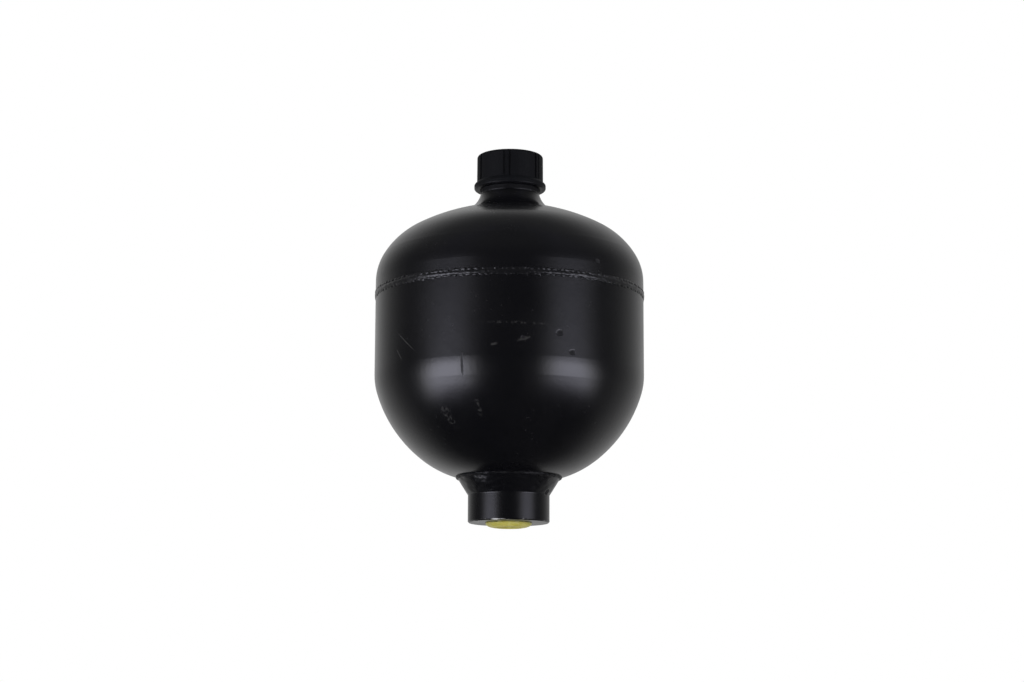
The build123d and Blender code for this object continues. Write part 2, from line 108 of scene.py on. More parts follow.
class Value:
    """A socket in a tree of nodes. Sums and products of it add Math nodes."""

    def __init__(self, tree, socket):
        self.tree = tree
        self.socket = socket

    def math(self, operation, *terms):
        node = self.tree.nodes.new("ShaderNodeMath")
        node.operation = operation
        for place, term in zip(node.inputs, terms):
            feed(self.tree, place, term)
        return Value(self.tree, node.outputs[0])

    def __add__(self, other):
        return self.math("ADD", self, other)

    def __radd__(self, other):
        return self.math("ADD", other, self)

    def __sub__(self, other):
        return self.math("SUBTRACT", self, other)

    def __rsub__(self, other):
        return self.math("SUBTRACT", other, self)

    def __mul__(self, other):
        return self.math("MULTIPLY", self, other)

    def __rmul__(self, other):
        return self.math("MULTIPLY", other, self)

    def __truediv__(self, other):
        return self.math("DIVIDE", self, other)

    def __neg__(self):
        return self.math("MULTIPLY", self, -1.0)

    def __pow__(self, other):
        return self.math("POWER", self, other)

    def __abs__(self):
        return self.math("ABSOLUTE", self)

    def least(self, other):
        return self.math("MINIMUM", self, other)

    def most(self, other):
        return self.math("MAXIMUM", self, other)

    def step(self, low, high):
        """0 below low, 1 above high and smooth between. With low above high it falls."""
        node = self.tree.nodes.new("ShaderNodeMapRange")
        node.interpolation_type = "SMOOTHSTEP"
        falls = low > high
        feed(self.tree, node.inputs["Value"], self)
        feed(self.tree, node.inputs["From Min"], min(low, high))
        feed(self.tree, node.inputs["From Max"], max(low, high))
        feed(self.tree, node.inputs["To Min"], 1.0 if falls else 0.0)
        feed(self.tree, node.inputs["To Max"], 0.0 if falls else 1.0)
        return Value(self.tree, node.outputs["Result"])


def feed(tree, place, term):
    """Links a value to a socket, or sets the socket to a number or a colour."""
    if isinstance(term, Value):
        tree.links.new(term.socket, place)
    elif place.type == "RGBA" and len(term) == 3:
        place.default_value = (*term, 1.0)
    else:
        place.default_value = term


class Finish:
    """The nodes of one material, or of the world, under construction."""

    def __init__(self, tree):
        self.tree = tree

    def node(self, kind, settings=None, sockets=None, output=0):
        """Adds a node: its settings first, then the values or links of its sockets."""
        node = self.tree.nodes.new(kind)
        for name, setting in (settings or {}).items():
            setattr(node, name, setting)
        for name, term in (sockets or {}).items():
            feed(self.tree, node.inputs[name], term)
        return Value(self.tree, node.outputs[output])

    def place(self):
        """Object coordinates, in metres."""
        return self.node("ShaderNodeTexCoord", output="Object")

    def axes(self, vector):
        """The three parts of a vector."""
        split = self.tree.nodes.new("ShaderNodeSeparateXYZ")
        feed(self.tree, split.inputs[0], vector)
        return [Value(self.tree, out) for out in split.outputs]

    def noise(self, vector, scale, detail=3.0, roughness=0.55, distortion=0.0):
        """Fractal noise between 0 and 1, with a scale in cells per metre."""
        sockets = {"Vector": vector, "Scale": scale, "Detail": detail}
        sockets.update({"Roughness": roughness, "Distortion": distortion})
        return self.node("ShaderNodeTexNoise", None, sockets, "Fac")

    def cells(self, vector, scale, feature="F1"):
        """Distances in cellular noise, with a scale in cells per metre."""
        sockets = {"Vector": vector, "Scale": scale}
        return self.node("ShaderNodeTexVoronoi", {"feature": feature}, sockets, "Distance")

    def mix(self, share, first, second):
        """A colour between two colours."""
        mixer = self.tree.nodes.new("ShaderNodeMix")
        mixer.data_type = "RGBA"
        feed(self.tree, mixer.inputs[0], share)
        feed(self.tree, mixer.inputs[6], first)
        feed(self.tree, mixer.inputs[7], second)
        return Value(self.tree, mixer.outputs[2])

    def stretch(self, vector, sizes):
        """A vector with each part multiplied."""
        return self.node("ShaderNodeVectorMath", {"operation": "MULTIPLY"}, {0: vector, 1: sizes})

    def bump(self, height, depth, strength=1.0, normal=None):
        """A bump from a height between 0 and 1 that stands for a depth in metres."""
        sockets = {"Height": height, "Distance": depth, "Strength": strength}
        if normal is not None:
            sockets["Normal"] = normal
        return self.node("ShaderNodeBump", None, sockets)


def material(name):
    """A new material: its finish, its shader node and itself."""
    made = bpy.data.materials.new(name)
    made.use_nodes = True
    return Finish(made.node_tree), made.node_tree.nodes["Principled BSDF"], made


def dress(shader, **sockets):
    """Feeds sockets of a shader, named with _ for a space."""
    for name, term in sockets.items():
        feed(shader.id_data, shader.inputs[name.replace("_", " ")], term)


# ------------------------------------------------------- places on the vessel


class Place:
    """Where a point of a surface is: its vector, and its angle, radius and height on the axis."""

    def __init__(self, finish):
        self.vector = finish.place()
        x, y, z = finish.axes(self.vector)
        self.angle = x.math("ARCTAN2", x, -y)
        self.radius = (x * x + y * y) ** 0.5
        self.height = z


def spot(place, ragged, angle, rise, wide, high, tilt=0.0, soft=0.5, wall=BODY_RADIUS, datum=WELD):
    """1 inside a ragged oval on a wall of a given radius.

    Its middle is given in degrees round the axis and in millimetres over the datum height, its
    half width and half height in millimetres, and its tilt in degrees.
    """
    raggedness = 1.1
    c = math.cos(math.radians(tilt))
    s = math.sin(math.radians(tilt))
    along = (place.angle - math.radians(angle)) * wall
    up = place.height - (datum + rise * MM)
    across = (along * c + up * s) / (wide * MM)
    upward = (up * c - along * s) / (high * MM)
    far = (across ** 2.0 + upward ** 2.0) ** 0.5 + (ragged - 0.5) * raggedness
    return far.step(1.0 + soft, 1.0 - soft)


def spots(place, ragged, marks, **settings):
    """1 inside any of several spots, each given by its angle, rise, width, height and tilt."""
    first, *others = marks
    inside = spot(place, ragged, *first, **settings)
    for mark in others:
        inside = inside.most(spot(place, ragged, *mark, **settings))
    return inside


# ------------------------------------------------------------------- finishes

CHIP_BLACK = (0.0012, 0.0012, 0.0014)


class Coat:
    """The colour, roughness and normal of a finish, which its wear changes."""

    def __init__(self, colour, rough, normal):
        self.colour = colour
        self.rough = rough
        self.normal = normal


def black_paint(name, peel=1.0, dull=0.0, shine=0.5, turned=0.0, beaded=0.0, forged=0.0, wear=None):
    """Semi-gloss black paint: orange peel, faint haze and smears, dust, and wear where named.

    Peel and turned scale the orange peel and the tool rings, dull adds to the roughness, and
    shine is the specular level. Beaded and forged are depths: of weld ripples all over, and of
    facets on the boss's cone.
    """
    deep_black = (0.0016, 0.0017, 0.0023)
    thin_black = (0.0029, 0.0029, 0.0035)
    dust_grey = (0.045, 0.043, 0.04)
    finish, shader, made = material(name)
    place = Place(finish)
    drift = finish.noise(place.vector, 14.0, 3.0, 0.6)
    haze = finish.noise(place.vector, 46.0, 5.0, 0.62, 0.4)
    smear = finish.noise(finish.stretch(place.vector, (1.0, 1.0, 0.12)), 85.0, 3.0, 0.6)
    dusty = finish.noise(place.vector, 33.0, 1.0).step(0.56, 0.64)
    dust = finish.cells(place.vector, 260.0).step(0.13, 0.05) * dusty
    grain = finish.noise(place.vector, 900.0, 2.0, 0.5)
    peel_wave = finish.noise(place.vector, 620.0, 2.0, 0.5)
    peel_swell = finish.noise(place.vector, 170.0, 2.0, 0.5)

    colour = finish.mix(drift.step(0.3, 0.7), deep_black, thin_black)
    colour = finish.mix(dust * 0.15, colour, dust_grey)
    rough = 0.25 + dull + (haze - 0.5) * 0.09 + (smear - 0.5) * 0.05 + dust * 0.12
    normal = finish.bump(peel_wave * 0.55 + peel_swell * 0.45, 0.05 * MM * peel, 0.9)
    normal = finish.bump(grain, 0.012 * MM, 0.5, normal)
    if beaded:
        ripples = finish.noise(finish.stretch(place.vector, (1.0, 1.0, 2.6)), 270.0, 2.0, 0.5)
        normal = finish.bump(ripples, beaded, 0.9, normal)
    if turned:
        rings = finish.noise(finish.stretch(place.vector, (0.0, 0.0, 1.0)), 1600.0, 2.0, 0.6)
        normal = finish.bump(rings, 0.02 * MM * turned, 0.8, normal)
    if forged:
        cone = place.height.step(CONE_FOOT - 0.5 * MM, CONE_FOOT + 0.5 * MM)
        cone = cone * place.height.step(CONE_TOP + MM, CONE_TOP - MM)
        facets = finish.cells(finish.stretch(place.vector, (1.0, 1.0, 1.6)), 210.0, "SMOOTH_F1")
        normal = finish.bump(facets * cone, forged, 0.8, normal)

    coat = Coat(colour, rough, normal)
    if wear:
        wear(finish, place, coat)
    dress(shader, Base_Color=coat.colour, Roughness=coat.rough, Normal=coat.normal)
    dress(shader, Specular_IOR_Level=shine)
    return made


def body_wear(finish, place, coat):
    """Handling marks of the cylinder and bowl: chipped spots, a drip, scuffs and scratches."""
    rubbed_grey = (0.055, 0.054, 0.052)
    ragged = finish.noise(place.vector, 520.0, 3.0, 0.6)
    broad = finish.noise(place.vector, 150.0, 4.0, 0.65)

    chip_marks = (
        (20.6, -35.8, 1.7, 1.4),
        (26.4, -46.8, 1.5, 1.2),
        (5.6, -39.6, 1.2, 0.9),
    )
    scuff_marks = (
        (5.9, -40.2, 3.4, 0.9, 16.0),
        (-6.2, -43.5, 1.8, 0.7, 12.0),
    )
    bowl_marks = (
        (-30.0, -83.0, 2.2, 6.5, 24.0),
        (-14.0, -79.0, 1.3, 4.5, 8.0),
    )
    scratch_marks = (
        (-48.0, -37.6, 8.2, 0.28, -38.0),
        (-52.0, -45.0, 4.2, 0.22, -52.0),
        (108.0, -25.0, 9.0, 0.3, 24.0),
        (-142.0, -59.0, 7.0, 0.28, -64.0),
    )
    chips = spots(place, ragged, chip_marks)
    drip = spot(place, ragged, -19.4, -55.4, 0.8, 5.6, soft=0.35)
    faint = spot(place, broad, 2.2, -30.7, 16.0, 0.7, -1.2, soft=0.7) * ragged.step(0.44, 0.6)
    scuffs = spots(place, ragged, scuff_marks)
    rubs = spots(place, broad, bowl_marks, wall=72.0 * MM)
    scuffs = scuffs.most(rubs * ragged.step(0.46, 0.6))
    scratches = spots(place, ragged, scratch_marks, soft=0.6)

    worn = (scuffs * 0.34 + scratches * 0.4 + faint * 0.24).least(1.0)
    sunk = chips * 1.1 + scratches * 0.5 + drip * 0.2
    coat.colour = finish.mix(worn, coat.colour, rubbed_grey)
    coat.colour = finish.mix((chips * 0.9 + drip * 0.85).least(1.0), coat.colour, CHIP_BLACK)
    coat.rough = coat.rough + worn * 0.16 + chips * 0.5 + drip * 0.32
    coat.normal = finish.bump(1.0 - sunk, 0.2 * MM, 0.9, coat.normal)


def dome_wear(finish, place, coat):
    """One chip on the dome and a few faint rubs round it."""
    rubbed_grey = (0.05, 0.05, 0.05)
    ragged = finish.noise(place.vector, 520.0, 3.0, 0.6)
    chip = spot(place, ragged, 39.0, 9.9, 1.5, 1.1, wall=80.0 * MM)
    rubs = finish.noise(finish.stretch(place.vector, (1.0, 1.0, 3.0)), 60.0, 4.0, 0.7)
    rubs = rubs.step(0.66, 0.78)
    coat.colour = finish.mix(rubs * 0.14, coat.colour, rubbed_grey)
    coat.colour = finish.mix(chip * 0.9, coat.colour, CHIP_BLACK)
    coat.rough = coat.rough + rubs * 0.08 + chip * 0.3
    coat.normal = finish.bump(1.0 - chip * 0.7, 0.1 * MM, 0.8, coat.normal)


def boss_wear(finish, place, coat):
    """Paint knocked off the port's lower edge, its pale bare steel partly a painted highlight of the
    chamfer; a pit over the collar and paler streaks on the cone.
    """
    # A paler grey for streaks on the upper cone.
    streak_grey = (0.14, 0.14, 0.15)
    # Pale grey for bare steel where the paint is chipped, and for a painted highlight of the chamfer.
    bare_steel_and_highlight = (0.62, 0.62, 0.6)
    pit_black = (0.0008, 0.0008, 0.0009)
    on_collar = {"soft": 0.3, "wall": BOSS_RADIUS, "datum": PORT_FACE}
    ragged = finish.noise(place.vector, 420.0, 4.0, 0.65)

    edge = place.height.step(PORT_FACE + 1.2 * MM, PORT_FACE + 0.5 * MM) * ragged.step(0.58, 0.66)
    edge = edge * place.radius.step(23.6 * MM, 24.2 * MM)
    # The nick is chipped paint and also a painted highlight on the chamfer, full at its first spot
    # and half as strong at the second.
    nick_and_highlight = spot(place, ragged, -19.0, 0.45, 2.6, 0.4, **on_collar)
    nick_and_highlight = nick_and_highlight.most(spot(place, ragged, -11.0, 0.5, 2.6, 0.2, **on_collar) * 0.5)
    bare_and_highlight = (edge * 0.3 + nick_and_highlight).least(1.0)
    pit = spot(place, ragged, 64.0, 17.8, 2.0, 1.8, **on_collar)
    # Paler streaks in the colour on the upper cone, raised by a bump.
    cone_streaks = spot(place, ragged, -36.0, 26.4, 4.6, 2.4, -30.0, wall=32.0 * MM, datum=PORT_FACE)
    spatter = finish.noise(finish.stretch(place.vector, (1.0, 1.0, 2.2)), 420.0, 3.0, 0.7)
    cone_streaks = cone_streaks * spatter.step(0.46, 0.66)

    coat.colour = finish.mix(cone_streaks * 0.45, coat.colour, streak_grey)
    # Pale bare steel on the lower edge, partly painted highlight.
    coat.colour = finish.mix(bare_and_highlight, coat.colour, bare_steel_and_highlight)
    coat.colour = finish.mix(pit * 0.9, coat.colour, pit_black)
    coat.rough = coat.rough + pit * 0.35 + bare_and_highlight * 0.05
    coat.normal = finish.bump(1.0 - pit - bare_and_highlight * 0.15 + cone_streaks * 0.5, 0.5 * MM, 0.9, coat.normal)


def stem_wear(finish, place, coat):
    """Dry overspray under the cap, glossier only along the foot of the collar."""
    wet = place.height.step(COLLAR_FOOT + 1.0 * MM, COLLAR_FOOT + 0.4 * MM)
    coat.rough = coat.rough + 0.4 - wet * 0.4


def cap_plastic(name):
    """Matt black moulded polyethylene: fine spark texture, flow lines and rubbed corners, and a
    glossier lower rim whose colour is also lightened as a painted highlight.
    """
    deep_black = (0.0020, 0.0022, 0.0028)
    thin_black = (0.0032, 0.0034, 0.0042)
    rubbed_grey = (0.03, 0.03, 0.031)
    # A paler grey painted along the lower rim as a highlight.
    rim_highlight_grey = (0.010, 0.010, 0.012)
    finish, shader, made = material(name)
    vector = finish.place()
    height = finish.axes(vector)[2]
    spark = finish.noise(vector, 2100.0, 2.0, 0.6)
    flow = finish.noise(finish.stretch(vector, (1.0, 1.0, 0.25)), 120.0, 4.0, 0.6)
    drift = finish.noise(vector, 60.0, 3.0, 0.6)
    rub = finish.noise(vector, 240.0, 4.0, 0.7).step(0.62, 0.76)
    # The lower rim is glossier, and its colour is lightened there too as a painted highlight line.
    rim = height.step(CAP_FOOT + 1.5 * MM, CAP_FOOT + 0.7 * MM)
    colour = finish.mix(drift, deep_black, thin_black)
    colour = finish.mix(rub * 0.2, colour, rubbed_grey)
    colour = finish.mix(rim * 0.25, colour, rim_highlight_grey)
    rough = 0.62 + (flow - 0.5) * 0.16 + rub * 0.08 - rim * 0.22
    normal = finish.bump(spark, 0.04 * MM, 0.6)
    normal = finish.bump(flow, 0.05 * MM, 0.3, normal)
    dress(shader, Base_Color=colour, Roughness=rough, Normal=normal, Specular_IOR_Level=0.15)
    return made


def plug_plastic(name):
    """Soft translucent yellow polyethylene: clouded, with flow lines from its gate, and a brown
    shadow of the port's edge painted on its lip just under the port's face.
    """
    deep_yellow = (0.45, 0.41, 0.07)
    pale_yellow = (0.57, 0.53, 0.15)
    flow_yellow = (0.66, 0.63, 0.34)
    # A browner yellow, painted as the boss's shadow on the lip.
    shadow_yellow = (0.30, 0.24, 0.02)
    finish, shader, made = material(name)
    place = Place(finish)
    cloud = finish.noise(place.vector, 150.0, 4.0, 0.6, 0.6)
    fine = finish.noise(place.vector, 900.0, 2.0, 0.5)
    flow = finish.noise(finish.stretch(place.vector, (1.0, 0.35, 1.0)), 260.0, 4.0, 0.6, 0.8)
    # Painted shadow: the outer lip just under the port's face is darkened as if shaded by the boss.
    lip_shadow = place.radius.step(14.0 * MM, 14.5 * MM)
    lip_shadow = lip_shadow * place.height.step(PORT_FACE - 0.9 * MM, PORT_FACE - 0.3 * MM)
    colour = finish.mix(cloud.step(0.25, 0.75), deep_yellow, pale_yellow)
    colour = finish.mix(flow.step(0.5, 0.75) * 0.35, colour, flow_yellow)
    colour = finish.mix(lip_shadow * 0.5, colour, shadow_yellow)
    normal = finish.bump(flow, 0.06 * MM, 0.5)
    normal = finish.bump(fine, 0.03 * MM, 0.4, normal)
    dress(shader, Base_Color=colour, Roughness=0.42 + (cloud - 0.5) * 0.2, Normal=normal)
    dress(shader, Subsurface_Weight=0.35, Subsurface_Scale=2.2 * MM, Specular_IOR_Level=0.25)
    dress(shader, Subsurface_Radius=(1.0, 0.85, 0.25))
    return made


def machined_steel(name, shade, oil=0.0, thread=None):
    """Turned steel: fine tool rings and small stains, glossier where it is oiled."""
    finish, shader, made = material(name)
    place = Place(finish)
    rings = finish.noise(finish.stretch(place.vector, (0.0, 0.0, 1.0)), 2600.0, 3.0, 0.6)
    sweep = finish.node("ShaderNodeCombineXYZ", None, {0: place.radius, 1: 0.0, 2: 0.0})
    face_rings = finish.noise(sweep, 2600.0, 3.0, 0.6)
    stain = finish.noise(place.vector, 130.0, 5.0, 0.65, 0.5)
    stained = tuple(part * 0.55 for part in shade)
    colour = finish.mix(stain.step(0.45, 0.75), shade, stained)
    rough = 0.24 + rings * 0.12 + stain * 0.14 - oil * 0.08
    normal = finish.bump(rings * 0.5 + face_rings * 0.5, 0.02 * MM, 0.7)
    if thread:
        normal = thread_bump(finish, place, normal, **thread)
    dress(shader, Base_Color=colour, Roughness=rough, Normal=normal, Metallic=1.0)
    return made


def thread_bump(finish, place, normal, pitch, low, high, inner, outer):
    """A helical thread between two heights on the wall between two radii."""
    turns = place.height / pitch - place.angle / TURN
    wave = turns.math("PINGPONG", turns, 0.5) * 2.0
    zone = place.height.step(low - 0.2 * MM, low + 0.2 * MM)
    zone = zone * place.height.step(high + 0.2 * MM, high - 0.2 * MM)
    wall = place.radius.step(inner - 0.1 * MM, inner) * place.radius.step(outer + 0.1 * MM, outer)
    return finish.bump(wave * zone * wall, 0.6 * pitch, 0.9, normal)


def seal_copper(name):
    """Annealed copper with a brown bloom."""
    clean_copper = (0.78, 0.36, 0.22)
    brown_copper = (0.40, 0.16, 0.09)
    finish, shader, made = material(name)
    vector = finish.place()
    bloom = finish.noise(vector, 260.0, 5.0, 0.65, 0.6)
    fine = finish.noise(vector, 1500.0, 2.0, 0.5)
    colour = finish.mix(bloom.step(0.4, 0.7), clean_copper, brown_copper)
    normal = finish.bump(fine, 0.02 * MM, 0.6)
    dress(shader, Base_Color=colour, Roughness=0.32 + bloom * 0.2, Normal=normal, Metallic=1.0)
    return made


def moulded_rubber(name, shade, talc=0.0):
    """Moulded black rubber: satin skin, faint flow marks and a bloom of talc."""
    talc_grey = (0.16, 0.155, 0.15)
    finish, shader, made = material(name)
    vector = finish.place()
    bloom = finish.noise(vector, 48.0, 5.0, 0.65, 0.5)
    flow = finish.noise(finish.stretch(vector, (1.0, 1.0, 0.3)), 190.0, 4.0, 0.6)
    skin = finish.noise(vector, 1300.0, 2.0, 0.55)
    paler = tuple(part * 1.5 for part in shade)
    colour = finish.mix(flow, shade, paler)
    colour = finish.mix(bloom.step(0.45, 0.8) * talc, colour, talc_grey)
    normal = finish.bump(skin, 0.03 * MM, 0.6)
    normal = finish.bump(flow, 0.12 * MM, 0.4, normal)
    dress(shader, Base_Color=colour, Roughness=0.52 + (bloom - 0.5) * 0.22, Normal=normal)
    dress(shader, Specular_IOR_Level=0.45, Sheen_Weight=0.1)
    return made


def paint(node, finish):
    """Gives a CAD node a material."""
    mesh = frame["nodes"][node].data
    mesh.materials.clear()
    mesh.materials.append(finish)


# ----------------------------------------------------------- modelling helpers


def begin(add, name, **settings):
    """Adds a primitive, names it and opens it for editing with all of it selected."""
    bpy.ops.object.select_all(action="DESELECT")
    add(**settings)
    piece = bpy.context.object
    piece.name = name
    piece.data.name = name
    bpy.ops.object.transform_apply(location=True, rotation=True, scale=True)
    bpy.ops.object.mode_set(mode="EDIT")
    bpy.ops.mesh.select_all(action="SELECT")
    return piece


def pick(piece, test):
    """Selects the vertices whose place passes the test, in edit mode, and nothing else."""
    bpy.ops.mesh.select_all(action="DESELECT")
    bpy.ops.mesh.select_mode(type="VERT")
    mesh = bmesh.from_edit_mesh(piece.data)
    for vertex in mesh.verts:
        vertex.select_set(test(vertex.co))
    mesh.select_flush_mode()
    bmesh.update_edit_mesh(piece.data)


def extrude_rings(start, places):
    """Extrudes the selected ring round the axis from its start to place after place.

    Every place is a radius and a height.
    """
    radius, height = start
    for next_radius, next_height in places:
        share = next_radius / radius
        rise = (0.0, 0.0, next_height - height)
        bpy.ops.mesh.extrude_region_move(TRANSFORM_OT_translate={"value": rise})
        middle = (0.0, 0.0, next_height)
        bpy.ops.transform.resize(value=(share, share, 1.0), center_override=middle)
        radius, height = next_radius, next_height


def only(piece):
    """Selects one object and makes it active."""
    bpy.ops.object.select_all(action="DESELECT")
    piece.select_set(True)
    bpy.context.view_layer.objects.active = piece


def join(piece, others):
    """Joins other objects to a piece and opens it for editing."""
    only(piece)
    for other in others:
        other.select_set(True)
    bpy.ops.object.join()
    bpy.ops.object.mode_set(mode="EDIT")


def settle(piece, finish, smooth, replaced=()):
    """Closes the edit, faces the normals outwards, and puts the piece on the vessel.

    Edges sharper than smooth, in degrees, stay sharp.
    """
    bpy.ops.mesh.select_all(action="SELECT")
    bpy.ops.mesh.normals_make_consistent(inside=False)
    bpy.ops.object.mode_set(mode="OBJECT")
    only(piece)
    bpy.ops.object.shade_smooth_by_angle(angle=math.radians(smooth))
    piece.data.materials.clear()
    piece.data.materials.append(finish)
    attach(piece, "vessel")
    if replaced:
        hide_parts(*replaced)
    bpy.ops.object.select_all(action="DESELECT")


# ----------------------------------------------------------------- the pieces


def weld_drop(name, turn, radius, height, wide, long, proud, lean, tip=0.0):
    """One ripple of a weld: a flattened drop with trailing ends, laid on a wall of a given radius.

    Its lean along the weld, its tip down from the wall and its turn round the axis are in radians.
    """
    origin = (0.0, 0.0, 0.0)
    piece = begin(bpy.ops.mesh.primitive_uv_sphere_add, name, segments=10, ring_count=6, radius=1.0)
    bpy.ops.transform.resize(value=(long, proud, wide))
    pick(piece, lambda place: abs(place.z) > 0.55 * wide)
    bpy.ops.transform.translate(value=(0.45 * long, 0.0, 0.0))
    bpy.ops.mesh.select_all(action="SELECT")
    bpy.ops.transform.rotate(value=lean, orient_axis="Y", center_override=origin)
    bpy.ops.transform.rotate(value=tip, orient_axis="X", center_override=origin)
    bpy.ops.transform.translate(value=(0.0, -radius, height))
    bpy.ops.transform.rotate(value=turn, orient_axis="Z", center_override=origin)
    bpy.ops.object.mode_set(mode="OBJECT")
    return piece


def laid_bead(drops, groups):
    """Joins a run of ripples and repeats it round the axis; stays in edit mode.

    The last copy of the run falls on the first, so the two are merged.
    """
    bead = drops[0]
    join(bead, drops[1:])
    bpy.ops.mesh.select_all(action="SELECT")
    bpy.ops.mesh.spin(steps=groups, dupli=True, angle=TURN, center=(0, 0, 0), axis=(0, 0, 1))
    bpy.ops.mesh.select_all(action="SELECT")
    bpy.ops.mesh.remove_doubles(threshold=0.001 * MM)
    return bead


def girth_weld_bead(finish):
    """Two passes of ripples laid side by side over the V of the girth weld."""
    cap_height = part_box("girth_weld")[1].x - BODY_RADIUS
    rng = random.Random(7)
    group = 17
    groups = 8
    step = TURN / (group * groups)
    upper_pass = (1.7 * MM, 0.8, 1.0)
    lower_pass = (-1.5 * MM, 0.55, 0.85)
    drops = []
    for row, (rise, least, most) in enumerate((upper_pass, lower_pass)):
        for number in range(group):
            turn = (number + 0.5 * row + rng.uniform(-0.25, 0.25)) * step
            wide = rng.uniform(0.8, 1.15) * MM
            long = rng.uniform(1.6, 2.5) * MM
            proud = rng.uniform(least, most) * cap_height
            lean = math.radians(rng.uniform(-12.0, 12.0))
            height = WELD + rise + rng.uniform(-0.18, 0.18) * MM
            drop = weld_drop("girth_weld_bead", turn, BODY_RADIUS, height, wide, long, proud, lean)
            drops.append(drop)
    bead = laid_bead(drops, groups)
    settle(bead, finish, smooth=50.0)


def port_weld_bead(finish):
    """A rougher run of ripples in the corner between the port's cone and the bowl."""
    low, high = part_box("port_weld")
    rng = random.Random(3)
    group = 17
    groups = 4
    step = TURN / (group * groups)
    tip = -0.7
    drops = []
    for number in range(group):
        turn = (number + rng.uniform(-0.3, 0.3)) * step
        wide = rng.uniform(1.0, 1.5) * MM
        long = rng.uniform(1.7, 2.6) * MM
        proud = rng.uniform(0.5, 0.85) * MM
        lean = math.radians(rng.uniform(-20.0, 20.0))
        radius = high.x - rng.uniform(1.3, 1.9) * MM
        height = low.z + rng.uniform(0.8, 1.3) * MM
        drop = weld_drop("port_weld_bead", turn, radius, height, wide, long, proud, lean, tip)
        drops.append(drop)
    bead = laid_bead(drops, groups)
    settle(bead, finish, smooth=50.0)


def moulded_plug(finish):
    """The plug: a ribbed cup in the bore, a domed flange under the port, and a grip bar."""
    low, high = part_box("port_plug")
    top = high.z
    lip = high.x
    bore = lip - 2.24 * MM
    rib = bore + 0.07 * MM
    edge = 0.5 * MM
    recess = lip - 6.3 * MM
    rib_count = 3
    rib_pitch = 2.4 * MM
    first_rib = 2.7 * MM
    dome = ((0.0, 0.75), (0.45, 1.35), (1.3, 1.95), (2.4, 2.4), (3.8, 2.76), (5.2, 2.96))

    # Down the ribbed cup, out along the port's face, in under the domed flange, up the recess.
    line = [(bore, top - edge)]
    for number in range(rib_count):
        foot = top - first_rib - rib_pitch * number
        line += [(bore, foot + 0.6 * MM), (rib, foot + 0.5 * MM), (rib, foot)]
        line += [(bore, foot - 0.1 * MM)]
    line += [(bore, PORT_FACE), (lip - 0.2 * MM, PORT_FACE), (lip, PORT_FACE - 0.2 * MM)]
    line += [(lip - inward * MM, PORT_FACE - drop * MM) for inward, drop in dome]
    line += [(recess + edge, low.z), (recess, low.z + 0.25 * MM)]
    line += [(recess - 0.2 * MM, low.z + 1.0 * MM), (recess - edge, top - 3.2 * MM)]
    line += [(recess - 1.3 * MM, top - 2.4 * MM)]
    start = (bore - edge, top)
    circle = {"vertices": 96, "radius": start[0], "fill_type": "NGON", "location": (0, 0, top)}
    cup = begin(bpy.ops.mesh.primitive_circle_add, "moulded_plug", **circle)
    extrude_rings(start, line)
    bpy.ops.object.mode_set(mode="OBJECT")

    bar_low = low.z + 0.9 * MM
    bar_top = top - 2.0 * MM
    middle = (0, 0, (bar_low + bar_top) / 2)
    bar = begin(bpy.ops.mesh.primitive_cube_add, "grip_bar", size=1.0, location=middle)
    bpy.ops.transform.resize(value=(2 * recess, 1.8 * MM, bar_top - bar_low))
    bpy.ops.mesh.bevel(offset=0.25 * MM, segments=2)
    bpy.ops.object.mode_set(mode="OBJECT")
    join(cup, [bar])
    settle(cup, finish, smooth=40.0, replaced=("port_plug",))


def threaded_stem(finish):
    """The gas stem with its thread cut: the wall taken to the root, and a helical crest on it."""
    source = frame["nodes"]["gas_stem"]
    stem = source.copy()
    stem.data = source.data.copy()
    stem.name = "gas_stem_threaded"
    stem.data.name = "gas_stem_threaded"
    bpy.context.collection.objects.link(stem)
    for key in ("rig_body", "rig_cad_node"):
        if key in stem:
            del stem[key]
    stem.parent = None
    only(stem)
    bpy.ops.object.mode_set(mode="EDIT")
    bpy.ops.mesh.select_all(action="SELECT")
    bpy.ops.mesh.remove_doubles(threshold=0.002 * MM)

    foot = STEM_TOP - STEM_THREAD_LENGTH
    near = 0.05 * MM

    def on_thread(place):
        return place.z > foot + 0.4 * MM and abs(place.to_2d().length - STEM_THREAD_CREST) < near

    pick(stem, on_thread)
    share = STEM_THREAD_ROOT / STEM_THREAD_CREST
    bpy.ops.transform.resize(value=(share, share, 1.0), center_override=(0.0, 0.0, 0.0))
    bpy.ops.object.mode_set(mode="OBJECT")
    ridge = thread_ridge("stem_thread", foot + 1.2 * STEM_THREAD_PITCH, STEM_TOP - 0.4 * MM)
    join(stem, [ridge])
    settle(stem, finish, smooth=32.0, replaced=("gas_stem",))


def thread_ridge(name, low, high):
    """A helical ridge of diamond section, half sunk in the root, with its edge at the crest."""
    depth = STEM_THREAD_CREST - STEM_THREAD_ROOT
    turns = int((high - low) / STEM_THREAD_PITCH)
    square = {"vertices": 4, "radius": 1.0, "rotation": (math.pi / 2, 0, 0)}
    piece = begin(bpy.ops.mesh.primitive_circle_add, name, **square)
    bpy.ops.transform.resize(value=(depth, 1.0, 0.47 * STEM_THREAD_PITCH))
    bpy.ops.transform.translate(value=(STEM_THREAD_ROOT, 0.0, low + STEM_THREAD_PITCH / 2))
    bpy.ops.object.mode_set(mode="OBJECT")
    screw = piece.modifiers.new("helix", "SCREW")
    screw.axis = "Z"
    screw.angle = TURN
    screw.screw_offset = STEM_THREAD_PITCH
    screw.iterations = turns - 1
    screw.steps = 72
    screw.render_steps = 72
    bpy.ops.object.modifier_apply(modifier="helix")
    bpy.ops.object.mode_set(mode="EDIT")
    bpy.ops.mesh.select_all(action="SELECT")
    bpy.ops.mesh.fill_holes(sides=6)
    bpy.ops.mesh.normals_make_consistent(inside=False)
    bpy.ops.object.mode_set(mode="OBJECT")
    return piece


